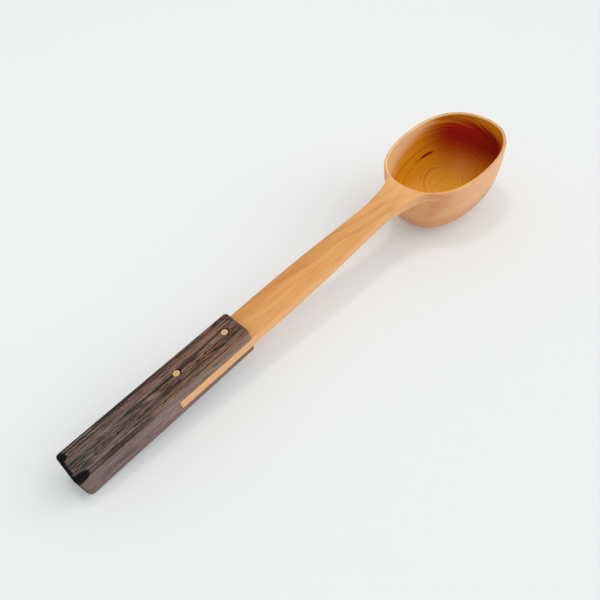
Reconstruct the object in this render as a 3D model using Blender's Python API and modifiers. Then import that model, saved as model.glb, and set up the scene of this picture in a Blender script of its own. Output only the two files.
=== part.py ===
"""Wooden ladle: a bowl and arm carved from one blank, a slotted grip and two pins.

The pieces are drawn level, in metres: x runs from the end of the grip to the
tip of the bowl, y runs across, and z = 0 is the flat top of the arm and rim.
Last, the ladle is tipped until the foot of the bowl and the heel of the grip
both touch the table, which is the plane z = 0 of the finished model.
"""
import math

import bmesh
import bpy
from mathutils import Matrix, Vector

# Overall size
TOTAL_LENGTH = 0.320

# Bowl, outside, and the thickness of its walls
BOWL_LENGTH = 0.0840
BOWL_WIDTH = 0.0626
BOWL_DEPTH = 0.0430
FOOT_LENGTH = 0.0395
FOOT_WIDTH = 0.0180
FOOT_DRIFT = -0.0020
RIM_WALL = 0.0018
FOOT_WALL = 0.0034
FLOOR_THICKNESS = 0.0045
LIP_DROP = 0.0008
COLLAR_DEPTH = 0.0040

# How square the oval is, and how upright the end and side walls are
PLAN_FULLNESS = 2.34
END_FULLNESS = 2.8
SIDE_FULLNESS = 2.3

# Arm, from the grip to the bowl
ARM_THICKNESS = 0.0053
ARM_WAIST_THICKNESS = 0.0054
ARM_NECK_THICKNESS = 0.0072
ARM_NECK_WIDTH = 0.0150
ARM_SWELL = 0.0007
NECK_REACH = 0.028
NECK_FLARE = 0.0040

# Grip, its slot and the tongue in it
GRIP_LENGTH = 0.1032
GRIP_WIDTH = 0.0201
GRIP_EDGE = 0.0025
CHEEK_ABOVE = 0.0063
HEEL_CHEEK_BELOW = 0.0056
FRONT_CHEEK_BELOW = 0.0046
TONGUE_LENGTH = 0.0475

# Pins through the grip and tongue
PIN_DIAMETER = 0.0035
PIN_SETBACK = 0.0086
PIN_SPACING = 0.0310
PIN_EDGE = 0.0002

# Fits: glue between the pieces, what is sanded off the foot, and how near counts as equal
GLUE_GAP = 0.0003
FOOT_SANDING = 0.0006
OVERCUT = 0.004
SNAP = 0.00001

# Counts that set how fine the surfaces are
RING_SIDES = 16
SKIN_LEVEL = 2
CAGE_ROUNDS = 10
ARM_SPANS = 4
NECK_SPANS = 2
EDGE_SEGMENTS = 4
PIN_SIDES = 24

# Depth shares of the bowl's drawn rings, from the rim (0) to the foot (1)
OUTER_SHARES = (0.46, 0.84, 1.0)
INNER_SHARES = (0.42, 0.82, 1.0)
FLOOR_DISC = 0.4

# The three columns of the ring, and the three rows of the wall, that carry the arm
LEFT, MIDDLE, RIGHT = RING_SIDES // 2 - 1, RING_SIDES // 2, RING_SIDES // 2 + 1
TOP_ROW, HALF_ROW, LOW_ROW = 1, 2, 3

# How sharp the arm's long edges are, at the grip and at the bowl
TONGUE_CREASE = 1.0
ARM_CREASE = 0.42
NECK_CREASE = 0.30

# Edges that turn by more than this are shaded crisp on the grip and pins
CRISP_ANGLE = math.radians(40)

# Linear colour and roughness of each wood
CHERRY = (0.700, 0.345, 0.122, 1.0), 0.45
DARK_WOOD = (0.140, 0.085, 0.068, 1.0), 0.55
PIN_WOOD = (0.600, 0.355, 0.150, 1.0), 0.50

# Sizes that follow from the ones above
BOWL_CENTRE = TOTAL_LENGTH - BOWL_LENGTH / 2
FOOT_CENTRE = BOWL_CENTRE + FOOT_DRIFT
NECK_START = TOTAL_LENGTH - BOWL_LENGTH - NECK_REACH
TONGUE_END = GRIP_LENGTH - TONGUE_LENGTH
HEEL_BOTTOM = -ARM_THICKNESS - HEEL_CHEEK_BELOW
FRONT_BOTTOM = -ARM_THICKNESS - FRONT_CHEEK_BELOW
PIN_PLACES = {
    "pin_front": GRIP_LENGTH - PIN_SETBACK,
    "pin_rear": GRIP_LENGTH - PIN_SETBACK - PIN_SPACING,
}


def table_tilt():
    """Angle of the table seen from the level drawing: it touches foot and heel."""
    across = FOOT_CENTRE - GRIP_EDGE
    drop = BOWL_DEPTH + HEEL_BOTTOM + GRIP_EDGE
    return math.atan2(drop, across) - math.asin(GRIP_EDGE / math.hypot(across, drop))


TILT = table_tilt()


def clear_scene():
    """Remove every object that the scene starts with."""
    for thing in list(bpy.data.objects):
        bpy.data.objects.remove(thing, do_unlink=True)


def new_collection(name):
    """Make a collection in the scene."""
    group = bpy.data.collections.new(name)
    bpy.context.scene.collection.children.link(group)
    return group


def wood(name, look):
    """Make a plain wood material from its colour and roughness."""
    colour, roughness = look
    material = bpy.data.materials.new(name)
    material.use_nodes = True
    shader = material.node_tree.nodes["Principled BSDF"]
    shader.inputs["Base Color"].default_value = colour
    shader.inputs["Roughness"].default_value = roughness
    shader.inputs["Metallic"].default_value = 0.0
    material.diffuse_color = colour
    return material


def piece_from(bm, name, group):
    """Turn a finished bmesh into a named object in a collection."""
    mesh = bpy.data.meshes.new(name)
    bmesh.ops.recalc_face_normals(bm, faces=bm.faces)
    bm.to_mesh(mesh)
    bm.free()
    piece = bpy.data.objects.new(name, mesh)
    group.objects.link(piece)
    return piece


def box(name, group, low, high):
    """Make a box between two corners."""
    bm = bmesh.new()
    bmesh.ops.create_cube(bm, size=1.0)
    size = Vector(high) - Vector(low)
    bmesh.ops.scale(bm, vec=size, verts=bm.verts)
    bmesh.ops.translate(bm, vec=Vector(low) + size / 2, verts=bm.verts)
    return piece_from(bm, name, group)


def upright_rod(bm, radius, height):
    """Add an upright round rod on the origin, with a side and not a corner on the centre line."""
    half_side = Matrix.Rotation(math.pi / PIN_SIDES, 4, "Z")
    bmesh.ops.create_cone(
        bm, cap_ends=True, segments=PIN_SIDES, radius1=radius, radius2=radius, depth=height,
        matrix=half_side)


def make_cutter(cutter):
    """Keep a cutting shape out of the finished model."""
    cutter.hide_render = True
    cutter.display_type = "WIRE"
    return cutter


def cut(piece, cutter):
    """Take a cutting shape away from a piece."""
    step = piece.modifiers.new(cutter.name, "BOOLEAN")
    step.operation = "DIFFERENCE"
    step.solver = "EXACT"
    step.object = cutter


def oval(column, half_length, half_width):
    """A point on the bowl's squarish oval: column 0 is the tip, the middle one the arm."""
    turn = math.tau * column / RING_SIDES
    along = math.cos(turn)
    across = math.sin(turn)
    power = 2 / PLAN_FULLNESS
    return (
        half_length * math.copysign(abs(along) ** power, along),
        half_width * math.copysign(abs(across) ** power, across),
    )


def narrowing(share, full, foot, fullness):
    """Half size of the bowl's wall at a share of its depth: upright at the rim, flat at the foot."""
    return (foot + (full - foot) * (1 - share ** fullness) ** (1 / fullness)) / 2


def ring(depth, share, inset, spread=1.0):
    """Points of one ring of the bowl, which leans with the table as it goes down."""
    half_length = (narrowing(share, BOWL_LENGTH, FOOT_LENGTH, END_FULLNESS) - inset) * spread
    half_width = (narrowing(share, BOWL_WIDTH, FOOT_WIDTH, SIDE_FULLNESS) - inset) * spread
    lean = math.tan(TILT) * share
    points = []
    for column in range(RING_SIDES):
        along, across = oval(column, half_length, half_width)
        centre = BOWL_CENTRE + FOOT_DRIFT * share
        points.append(Vector((centre + along, across, -depth - lean * along)))
    return points


def inner_rings():
    """Rings of the hollow, from its floor up to a collar that keeps the lip round, and the lip."""
    depth = BOWL_DEPTH - FLOOR_THICKNESS
    rings = [ring(depth, 1.0, FOOT_WALL, FLOOR_DISC)]
    for share in reversed(INNER_SHARES):
        wall = RIM_WALL + (FOOT_WALL - RIM_WALL) * share
        rings.append(ring(depth * share, share, wall))
    rings.append(ring(COLLAR_DEPTH, COLLAR_DEPTH / depth, RIM_WALL))
    rings.append(ring(LIP_DROP, 0.0, RIM_WALL))
    return rings


def outer_rings():
    """Rings of the outside, from the top of the lip down to the foot."""
    drawn_depth = BOWL_DEPTH + FOOT_SANDING
    lip_top = ring(0.0, 0.0, RIM_WALL / 2)
    lip_side = ring(LIP_DROP, 0.0, 0.0)
    for column in (LEFT, MIDDLE, RIGHT):
        lip_side[column].z = 0.0
    rings = [lip_top, lip_side]
    for depth in (ARM_NECK_THICKNESS / 2, ARM_NECK_THICKNESS):
        wall = ring(depth, depth / drawn_depth, 0.0)
        for column in (LEFT, MIDDLE, RIGHT):
            wall[column].z = -depth
        rings.append(wall)
    for share in OUTER_SHARES:
        rings.append(ring(drawn_depth * share, share, 0.0))
    return rings


def arm_section(x, half_width, thickness):
    """Nine points of the arm's section at one place along it, by row and column."""
    points = {}
    for row, height in ((TOP_ROW, 0.0), (HALF_ROW, -thickness / 2), (LOW_ROW, -thickness)):
        for column, side in ((LEFT, half_width), (MIDDLE, 0.0), (RIGHT, -half_width)):
            points[row, column] = Vector((x, side, height))
    return points


def arm_sections():
    """Sections of the arm from the neck, along the strap, to the end of the tongue."""
    sections = []
    neck_half = ARM_NECK_WIDTH / 2
    grip_half = GRIP_WIDTH / 2
    for step in reversed(range(NECK_SPANS)):
        share = (step + 0.5) / NECK_SPANS
        half = neck_half + NECK_FLARE * share ** 2
        rise = (ARM_NECK_THICKNESS - ARM_WAIST_THICKNESS) * share
        sections.append(arm_section(
            NECK_START + NECK_REACH * share, half, ARM_WAIST_THICKNESS + rise))
    for step in range(ARM_SPANS + 1):
        share = step / ARM_SPANS
        x = NECK_START + (GRIP_LENGTH - NECK_START) * share
        swell = ARM_SWELL * math.sin(math.pi * share) ** 2
        half = neck_half + (grip_half - neck_half) * share + swell
        thickness = ARM_WAIST_THICKNESS + (ARM_THICKNESS - ARM_WAIST_THICKNESS) * share
        sections.append(arm_section(x, half, thickness))
    sections.append(arm_section(TONGUE_END, grip_half, ARM_THICKNESS))
    return sections


def grow_ring(bm, corners, points):
    """Extrude a closed ring of corners and move the new ring onto its points."""
    edges = [bm.edges.get((corners[i - 1], corners[i])) for i in range(len(corners))]
    grown = set(bmesh.ops.extrude_edge_only(bm, edges=edges)["geom"])
    fresh = []
    for corner, point in zip(corners, points):
        twin = next(e.other_vert(corner) for e in corner.link_edges if e.other_vert(corner) in grown)
        twin.co = point
        fresh.append(twin)
    return fresh


def grow_arm(bm, rows, row_mark, column_mark):
    """Extrude the arm out of the four wall faces under the lip, section by section."""
    for row in (TOP_ROW, HALF_ROW, LOW_ROW):
        for column in (LEFT, MIDDLE, RIGHT):
            rows[row][column][row_mark] = row
            rows[row][column][column_mark] = column
    centre = rows[HALF_ROW][MIDDLE]
    faces = list(centre.link_faces)
    for section in arm_sections():
        grown = bmesh.ops.extrude_face_region(bm, geom=faces)["geom"]
        bmesh.ops.delete(bm, geom=faces, context="FACES")
        faces = [part for part in grown if isinstance(part, bmesh.types.BMFace)]
        for corner in [part for part in grown if isinstance(part, bmesh.types.BMVert)]:
            corner.co = section[corner[row_mark], corner[column_mark]]


def corner_crease(near_x, far_x):
    """Sharpness of one stretch of the arm's long edges, softer towards the bowl."""
    if far_x < GRIP_LENGTH + SNAP:
        return TONGUE_CREASE
    share = (near_x - GRIP_LENGTH) / (BOWL_CENTRE - GRIP_LENGTH)
    return ARM_CREASE + (NECK_CREASE - ARM_CREASE) * share


def crease_arm(bm, row_mark, column_mark):
    """Keep the tongue square, and let the arm's long edges soften towards the bowl."""
    crease = bm.edges.layers.float.new("crease_edge")
    for edge in bm.edges:
        first, second = [(v[row_mark], v[column_mark]) for v in edge.verts]
        on_arm = first[0] and second[0] and (HALF_ROW, MIDDLE) not in (first, second)
        if not on_arm:
            continue
        near_x, far_x = sorted(v.co.x for v in edge.verts)
        if first == second and first[0] != HALF_ROW and first[1] != MIDDLE:
            edge[crease] = corner_crease(near_x, far_x)
        elif first != second and far_x < GRIP_LENGTH + SNAP:
            edge[crease] = TONGUE_CREASE
        edge.smooth = edge[crease] < TONGUE_CREASE


def shade(piece):
    """Shade the round faces smooth and leave the square edges crisp."""
    piece.data.shade_smooth()
    piece.data.set_sharp_from_angle(angle=CRISP_ANGLE)


def fit_cage(piece):
    """Move the cage until the smooth skin goes through the points it was drawn from."""
    drawn = [corner.co.copy() for corner in piece.data.vertices]
    for _ in range(CAGE_ROUNDS):
        bpy.context.view_layer.update()
        smooth = piece.evaluated_get(bpy.context.evaluated_depsgraph_get())
        skin = smooth.to_mesh()
        for corner, point in zip(piece.data.vertices, drawn):
            corner.co += point - skin.vertices[corner.index].co
        smooth.to_mesh_clear()
        piece.data.update()


def make_bowl_and_arm(parts):
    """Carve the bowl, arm and tongue as one smooth solid from a coarse cage."""
    bm = bmesh.new()
    row_mark = bm.verts.layers.int.new("row")
    column_mark = bm.verts.layers.int.new("column")
    rings = inner_rings()
    bmesh.ops.create_circle(bm, cap_ends=True, segments=RING_SIDES, radius=FOOT_WIDTH)
    corners = sorted(bm.verts, key=lambda v: math.atan2(v.co.y, v.co.x) % math.tau)
    for corner, point in zip(corners, rings[0]):
        corner.co = point
    for points in rings[1:]:
        corners = grow_ring(bm, corners, points)
    rows = []
    for points in outer_rings():
        corners = grow_ring(bm, corners, points)
        rows.append(corners)
    bmesh.ops.contextual_create(bm, geom=corners)
    grow_arm(bm, rows, row_mark, column_mark)
    crease_arm(bm, row_mark, column_mark)
    piece = piece_from(bm, "bowl_and_arm", parts)
    skin = piece.modifiers.new("smooth skin", "SUBSURF")
    skin.levels = SKIN_LEVEL
    skin.render_levels = SKIN_LEVEL
    fit_cage(piece)
    piece.data.shade_smooth()
    return piece


def grip_bottom(x):
    """Height of the grip's underside, which rises from the heel to the front."""
    return HEEL_BOTTOM + (FRONT_BOTTOM - HEEL_BOTTOM) * x / GRIP_LENGTH


def make_grip(parts):
    """Make the grip as a tapered block with rounded edges; the slot is cut later."""
    low = (0.0, -GRIP_WIDTH / 2, HEEL_BOTTOM)
    high = (GRIP_LENGTH, GRIP_WIDTH / 2, CHEEK_ABOVE)
    piece = box("grip", parts, low, high)
    for corner in piece.data.vertices:
        if corner.co.z < 0.0:
            corner.co.z = grip_bottom(corner.co.x)
    rounding = piece.modifiers.new("rounded edges", "BEVEL")
    rounding.width = GRIP_EDGE
    rounding.segments = EDGE_SEGMENTS
    piece.data.shade_smooth()
    return piece


def make_pin(name, x, parts):
    """Make one pin, sanded flush with the top and bottom of the grip."""
    bm = bmesh.new()
    bottom = grip_bottom(x)
    upright_rod(bm, PIN_DIAMETER / 2, CHEEK_ABOVE - bottom)
    rims = [e for e in bm.edges if abs(e.verts[0].co.z - e.verts[1].co.z) < PIN_EDGE]
    bmesh.ops.bevel(bm, geom=rims, offset=PIN_EDGE, segments=1, affect="EDGES", profile=0.5)
    piece = piece_from(bm, name, parts)
    piece.location = (x, 0.0, (CHEEK_ABOVE + bottom) / 2)
    shade(piece)
    return piece


def make_slot_cutter(cutters):
    """The slot for the tongue, open at the front and at both sides of the grip."""
    half = GRIP_WIDTH / 2 + OVERCUT
    low = (TONGUE_END - GLUE_GAP, -half, -ARM_THICKNESS - GLUE_GAP)
    high = (GRIP_LENGTH + OVERCUT, half, GLUE_GAP)
    return make_cutter(box("slot_cutter", cutters, low, high))


def make_hole_cutter(name, x, cutters):
    """A hole for one pin, right through the grip and the tongue."""
    bm = bmesh.new()
    bottom = grip_bottom(x)
    upright_rod(bm, PIN_DIAMETER / 2 + GLUE_GAP, CHEEK_ABOVE - bottom + 2 * OVERCUT)
    cutter = piece_from(bm, name, cutters)
    cutter.location = (x, 0.0, (CHEEK_ABOVE + bottom) / 2)
    return make_cutter(cutter)


def make_table_cutter(cutters):
    """Everything that would lie under the table, wherever the ladle stands on it."""
    low = (-TOTAL_LENGTH, -BOWL_WIDTH, -BOWL_DEPTH)
    high = (TOTAL_LENGTH, BOWL_WIDTH, 0.0)
    return make_cutter(box("table_cutter", cutters, low, high))


def stand_on_table(pieces, cutters):
    """Tip the level ladle about the foot of its bowl, and centre it over the origin."""
    stand = bpy.data.objects.new("stand", None)
    bpy.context.scene.collection.objects.link(stand)
    for piece in pieces + cutters:
        piece.parent = stand
    stand.rotation_euler = (0.0, -TILT, 0.0)
    foot = stand.rotation_euler.to_matrix() @ Vector((FOOT_CENTRE, 0.0, -BOWL_DEPTH))
    stand.location = Vector((0.0, 0.0, 0.0)) - foot
    bpy.context.view_layer.update()
    reach = []
    for piece in pieces:
        shape = piece.evaluated_get(bpy.context.evaluated_depsgraph_get())
        reach += [(shape.matrix_world @ corner.co).x for corner in shape.data.vertices]
    stand.location.x -= (min(reach) + max(reach)) / 2


def main():
    """Build the ladle."""
    clear_scene()
    parts = new_collection("wooden_ladle")
    cutters = new_collection("cutters")

    bowl_and_arm = make_bowl_and_arm(parts)
    grip = make_grip(parts)
    pins = [make_pin(name, x, parts) for name, x in PIN_PLACES.items()]

    slot = make_slot_cutter(cutters)
    holes = [make_hole_cutter(name + "_hole", x, cutters) for name, x in PIN_PLACES.items()]
    cut(grip, slot)
    for hole in holes:
        cut(grip, hole)
        cut(bowl_and_arm, hole)
    cut(bowl_and_arm, make_table_cutter(cutters))

    bowl_and_arm.data.materials.append(wood("cherry", CHERRY))
    grip.data.materials.append(wood("dark_wood", DARK_WOOD))
    for pin in pins:
        pin.data.materials.append(wood("pin_wood", PIN_WOOD))

    stand_on_table([bowl_and_arm, grip] + pins, [slot] + holes)


main()
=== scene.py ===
# %% [markdown]
# # A wooden ladle
# The ladle is three woods in four pieces. The bowl, its arm and a square tongue are carved from one blank of
# cherry. A dark grip is slotted over the tongue, and two pale pins hold it there. The measured solids are
# loaded first, because every piece made here has to sit exactly where they are.

# %% Load the measured solids
import math

import bmesh
import bpy
from mathutils import Matrix, Vector


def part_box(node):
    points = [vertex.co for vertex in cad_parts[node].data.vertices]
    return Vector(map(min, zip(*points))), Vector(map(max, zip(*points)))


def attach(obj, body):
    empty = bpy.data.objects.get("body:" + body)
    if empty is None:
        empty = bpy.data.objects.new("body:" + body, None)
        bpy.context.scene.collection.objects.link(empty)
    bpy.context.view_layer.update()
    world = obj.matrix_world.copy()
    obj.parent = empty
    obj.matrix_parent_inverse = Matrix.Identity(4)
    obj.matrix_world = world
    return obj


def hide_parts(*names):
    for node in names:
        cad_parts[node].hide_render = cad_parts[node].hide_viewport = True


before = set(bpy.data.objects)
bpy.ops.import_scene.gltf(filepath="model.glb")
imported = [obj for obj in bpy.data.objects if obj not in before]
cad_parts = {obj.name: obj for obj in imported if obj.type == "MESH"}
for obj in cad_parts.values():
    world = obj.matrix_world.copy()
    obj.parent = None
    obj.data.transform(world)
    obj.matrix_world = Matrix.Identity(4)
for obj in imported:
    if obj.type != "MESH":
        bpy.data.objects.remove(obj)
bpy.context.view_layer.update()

MILLIMETRES = 1000.0
for name in sorted(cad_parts):
    low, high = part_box(name)
    print(name, "is", [round(MILLIMETRES * side, 1) for side in high - low], "mm")

# %% [markdown]
# ## The sizes
# A ladle is easiest to draw level: x runs from the end of the grip to the tip of the bowl, y runs across, and
# z = 0 is the flat top of the arm and rim. The sizes are in metres and are the same as in the measured solids.
# Writing each of them once, with a name, lets the pieces share them, so that the tongue fits its slot.

# %% Sizes of the bowl, arm, grip and pins
LENGTH = 0.320
BOWL_LENGTH, BOWL_WIDTH, BOWL_DEPTH = 0.0840, 0.0626, 0.0430
FOOT_LENGTH, FOOT_WIDTH, FOOT_DRIFT, FOOT_SANDING = 0.0395, 0.0180, -0.0020, 0.0006
RIM_WALL, FOOT_WALL, FLOOR_THICKNESS = 0.0018, 0.0034, 0.0045
LIP_DROP, COLLAR_DEPTH = 0.0008, 0.0040
PLAN_FULLNESS, END_FULLNESS, SIDE_FULLNESS = 2.34, 2.8, 2.3
ARM_THICKNESS, WAIST_THICKNESS, NECK_THICKNESS = 0.0053, 0.0054, 0.0072
NECK_WIDTH, NECK_REACH, NECK_FLARE, ARM_SWELL = 0.0150, 0.028, 0.0040, 0.0007
GRIP_LENGTH, GRIP_WIDTH, GRIP_EDGE, TONGUE_LENGTH = 0.1032, 0.0201, 0.0025, 0.0475
CHEEK_ABOVE, HEEL_CHEEK, FRONT_CHEEK = 0.0063, 0.0056, 0.0046
PIN_DIAMETER, PIN_SETBACK, PIN_SPACING = 0.0035, 0.0086, 0.0310
SEAM = 0.00004

BOWL_CENTRE = LENGTH - BOWL_LENGTH / 2
FOOT_CENTRE = BOWL_CENTRE + FOOT_DRIFT
NECK_START = LENGTH - BOWL_LENGTH - NECK_REACH
TONGUE_END = GRIP_LENGTH - TONGUE_LENGTH
HEEL_BOTTOM = -ARM_THICKNESS - HEEL_CHEEK
FRONT_BOTTOM = -ARM_THICKNESS - FRONT_CHEEK
PIN_PLACES = (GRIP_LENGTH - PIN_SETBACK, GRIP_LENGTH - PIN_SETBACK - PIN_SPACING)
print("bowl centre at", BOWL_CENTRE, "and pins at", PIN_PLACES)

# %% [markdown]
# ## How the ladle stands
# On the table it rests on the foot of the bowl and on the heel of the grip, so the level drawing is tipped a
# few degrees. Turned by eye it would float or sink a little, so the angle is worked out from the two places
# that touch the table: the middle of the foot, and the round edge at the end of the grip.

# %% Angle of the table
def table_tilt():
    across = FOOT_CENTRE - GRIP_EDGE
    drop = BOWL_DEPTH + HEEL_BOTTOM + GRIP_EDGE
    return math.atan2(drop, across) - math.asin(GRIP_EDGE / math.hypot(across, drop))


TILT = table_tilt()
print("the ladle is tipped by", round(math.degrees(TILT), 2), "degrees")

# %% [markdown]
# ## Rings of the bowl
# The bowl is a squarish oval that stays upright near the rim and turns in to a flat foot. A lathe can't make
# it, because it isn't round, and a sculpted mesh would be hard to change. So it is a coarse cage of rings,
# sixteen corners each, that Subdivision Surface turns into a smooth skin.

# %% One ring of the bowl
SIDES = 16


def oval(corner, half_length, half_width):
    turn = math.tau * corner / SIDES
    power = 2 / PLAN_FULLNESS
    along, across = math.cos(turn), math.sin(turn)
    return (half_length * math.copysign(abs(along) ** power, along),
            half_width * math.copysign(abs(across) ** power, across))


def narrowing(share, full, foot, fullness):
    return (foot + (full - foot) * (1 - share ** fullness) ** (1 / fullness)) / 2


def ring(depth, share, inset, reach=1.0):
    half_length = (narrowing(share, BOWL_LENGTH, FOOT_LENGTH, END_FULLNESS) - inset) * reach
    half_width = (narrowing(share, BOWL_WIDTH, FOOT_WIDTH, SIDE_FULLNESS) - inset) * reach
    points = []
    for corner in range(SIDES):
        along, across = oval(corner, half_length, half_width)
        lean = math.tan(TILT) * share * along
        points.append(Vector((BOWL_CENTRE + FOOT_DRIFT * share + along, across, -depth - lean)))
    return points


print("the rim's ring has", len(ring(0.0, 0.0, 0.0)), "corners")

# %% [markdown]
# The rings run from the middle of the floor up the inside, over the lip and down the outside to the foot. Two
# extra rings sit just under the lip. They give the wall a patch as tall as the arm is thick, and the arm grows
# out of that patch later. A collar inside, a few millimetres down, keeps the lip evenly round. Each ring also
# carries how deep it lies in the hollow, for the finish.

# %% Rings inside and outside
LEFT, MIDDLE, RIGHT = SIDES // 2 - 1, SIDES // 2, SIDES // 2 + 1
INNER_SHARES, OUTER_SHARES = (1.0, 0.82, 0.42), (0.46, 0.84, 1.0)
FLOOR_PATCH, LIP_SHARE = 0.4, 0.02
hollow_depth = BOWL_DEPTH - FLOOR_THICKNESS
outer_depth = BOWL_DEPTH + FOOT_SANDING

inner_rings = [(1.0, ring(hollow_depth, 1.0, FOOT_WALL, FLOOR_PATCH))]
for share in INNER_SHARES:
    wall = RIM_WALL + (FOOT_WALL - RIM_WALL) * share
    inner_rings.append((share, ring(hollow_depth * share, share, wall)))
collar = COLLAR_DEPTH / hollow_depth
inner_rings.append((collar, ring(COLLAR_DEPTH, collar, RIM_WALL)))
inner_rings.append((LIP_SHARE, ring(LIP_DROP, 0.0, RIM_WALL)))

outer_rings = [ring(0.0, 0.0, RIM_WALL / 2), ring(LIP_DROP, 0.0, 0.0)]
for depth in (NECK_THICKNESS / 2, NECK_THICKNESS):
    outer_rings.append(ring(depth, depth / outer_depth, 0.0))
for row, depth in ((1, 0.0), (2, NECK_THICKNESS / 2), (3, NECK_THICKNESS)):
    for corner in (LEFT, MIDDLE, RIGHT):
        outer_rings[row][corner].z = -depth
for share in OUTER_SHARES:
    outer_rings.append(ring(outer_depth * share, share, 0.0))
print(len(inner_rings), "rings inside and", len(outer_rings), "outside")

# %% [markdown]
# ## The bowl's cage
# The cage starts as a filled circle, which becomes the floor of the hollow. Its edge is extruded once for each
# ring, and the new corners move onto the ring's points. Two whole numbers on each corner are kept free for its
# row and column, because the arm needs to find its corners again.

# %% Grow the bowl ring by ring
cage = bmesh.new()
row_mark = cage.verts.layers.int.new("row")
column_mark = cage.verts.layers.int.new("column")
depth_mark = cage.verts.layers.float.new("hollow")


def grow_ring(corners, points, depth):
    edges = [cage.edges.get((corners[i - 1], corners[i])) for i in range(SIDES)]
    grown = set(bmesh.ops.extrude_edge_only(cage, edges=edges)["geom"])
    fresh = []
    for corner, point in zip(corners, points):
        twin = next(e.other_vert(corner) for e in corner.link_edges if e.other_vert(corner) in grown)
        twin.co = point
        twin[depth_mark] = depth
        fresh.append(twin)
    return fresh


bmesh.ops.create_circle(cage, cap_ends=True, segments=SIDES, radius=FOOT_WIDTH)
edge_loop = sorted(cage.verts, key=lambda v: math.atan2(v.co.y, v.co.x) % math.tau)
for corner, point in zip(edge_loop, inner_rings[0][1]):
    corner.co = point
    corner[depth_mark] = 1.0
for depth, points in inner_rings[1:]:
    edge_loop = grow_ring(edge_loop, points, depth)
wall_rows = []
for points in outer_rings:
    edge_loop = grow_ring(edge_loop, points, 0.0)
    wall_rows.append(edge_loop)
bmesh.ops.contextual_create(cage, geom=edge_loop)
print("the bowl's cage has", len(cage.faces), "faces")

# %% [markdown]
# ## The arm
# The arm is a flat strap, narrowest behind the bowl and as wide as the grip where it goes in. A separate bar
# would show a seam at the bowl, so the arm grows out of the bowl's wall, one section at a time. The sections
# are drawn first. Each has three rows of three corners, and the last one ends the square tongue.

# %% Sections along the arm
NECK_SPANS, ARM_SPANS = 2, 4


def arm_section(x, half_width, thickness):
    heights = {1: 0.0, 2: -thickness / 2, 3: -thickness}
    sides = {LEFT: half_width, MIDDLE: 0.0, RIGHT: -half_width}
    return {(row, column): Vector((x, sides[column], heights[row]))
            for row in heights for column in sides}


tongue_half = GRIP_WIDTH / 2
sections = []
for step in reversed(range(NECK_SPANS)):
    share = (step + 0.5) / NECK_SPANS
    thickness = WAIST_THICKNESS + (NECK_THICKNESS - WAIST_THICKNESS) * share
    sections.append(arm_section(
        NECK_START + NECK_REACH * share, NECK_WIDTH / 2 + NECK_FLARE * share ** 2, thickness))
for step in range(ARM_SPANS + 1):
    share = step / ARM_SPANS
    half = NECK_WIDTH / 2 + (tongue_half - NECK_WIDTH / 2) * share
    half += ARM_SWELL * math.sin(math.pi * share) ** 2
    thickness = WAIST_THICKNESS + (ARM_THICKNESS - WAIST_THICKNESS) * share
    sections.append(arm_section(NECK_START + (GRIP_LENGTH - NECK_START) * share, half, thickness))
sections.append(arm_section(TONGUE_END, tongue_half, ARM_THICKNESS))
print("the arm has", len(sections), "sections")

# %% [markdown]
# Four faces of the wall, around one middle corner, are the root of the arm. They are extruded once for each
# section. The corners take their row and column along when they are extruded, so each one can be sent to its
# own point of the section. Bowl and arm stay one skin, with a smooth neck.

# %% Extrude the arm out of the wall
for row in (1, 2, 3):
    for column in (LEFT, MIDDLE, RIGHT):
        wall_rows[row][column][row_mark] = row
        wall_rows[row][column][column_mark] = column
faces = list(wall_rows[2][MIDDLE].link_faces)
for section in sections:
    grown = bmesh.ops.extrude_face_region(cage, geom=faces)["geom"]
    bmesh.ops.delete(cage, geom=faces, context="FACES")
    faces = [part for part in grown if isinstance(part, bmesh.types.BMFace)]
    for corner in [part for part in grown if isinstance(part, bmesh.types.BMVert)]:
        corner.co = section[corner[row_mark], corner[column_mark]]
print("with the arm the cage has", len(cage.faces), "faces")

# %% [markdown]
# A Subdivision skin rounds everything off, but the arm has lively edges and the tongue square ones. Edge
# creases hold them: full at the tongue, less than half along the arm, and softer still towards the bowl, where
# the edge has to melt into the wall.

# %% Crease the arm's long edges
ARM_CREASE, CREASE_FADE, TINY = 0.42, 0.12, 0.00001
crease = cage.edges.layers.float.new("crease_edge")
for edge in cage.edges:
    first, second = [(v[row_mark], v[column_mark]) for v in edge.verts]
    if not (first[0] and second[0]) or (2, MIDDLE) in (first, second):
        continue
    near_x, far_x = sorted(v.co.x for v in edge.verts)
    in_grip = far_x < GRIP_LENGTH + TINY
    if first == second and first[0] != 2 and first[1] != MIDDLE:
        share = (near_x - GRIP_LENGTH) / (BOWL_CENTRE - GRIP_LENGTH)
        edge[crease] = 1.0 if in_grip else ARM_CREASE - CREASE_FADE * share
    elif first != second and in_grip:
        edge[crease] = 1.0
    edge.smooth = edge[crease] < 1.0
print(sum(edge[crease] > 0 for edge in cage.edges), "edges are creased")

# %% [markdown]
# ## From cage to skin
# A subdivided skin shrinks away from its cage, so the ladle would come out too small. The cage is moved
# outwards a little at a time, until the skin goes through the points that were drawn. The first corners of the
# skin are the cage's own corners, so they can be compared one by one.

# %% Fit the cage, then make the skin fine
FIT_ROUNDS, SKIN_LEVELS = 10, 4


def put(name, data):
    thing = bpy.data.objects.new(name, data)
    bpy.context.scene.collection.objects.link(thing)
    return thing


def new_piece(bm, name):
    mesh = bpy.data.meshes.new(name)
    bmesh.ops.recalc_face_normals(bm, faces=bm.faces)
    bm.to_mesh(mesh)
    bm.free()
    return put(name, mesh)


def with_modifiers(piece):
    bpy.context.view_layer.update()
    return piece.evaluated_get(bpy.context.evaluated_depsgraph_get())


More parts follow.
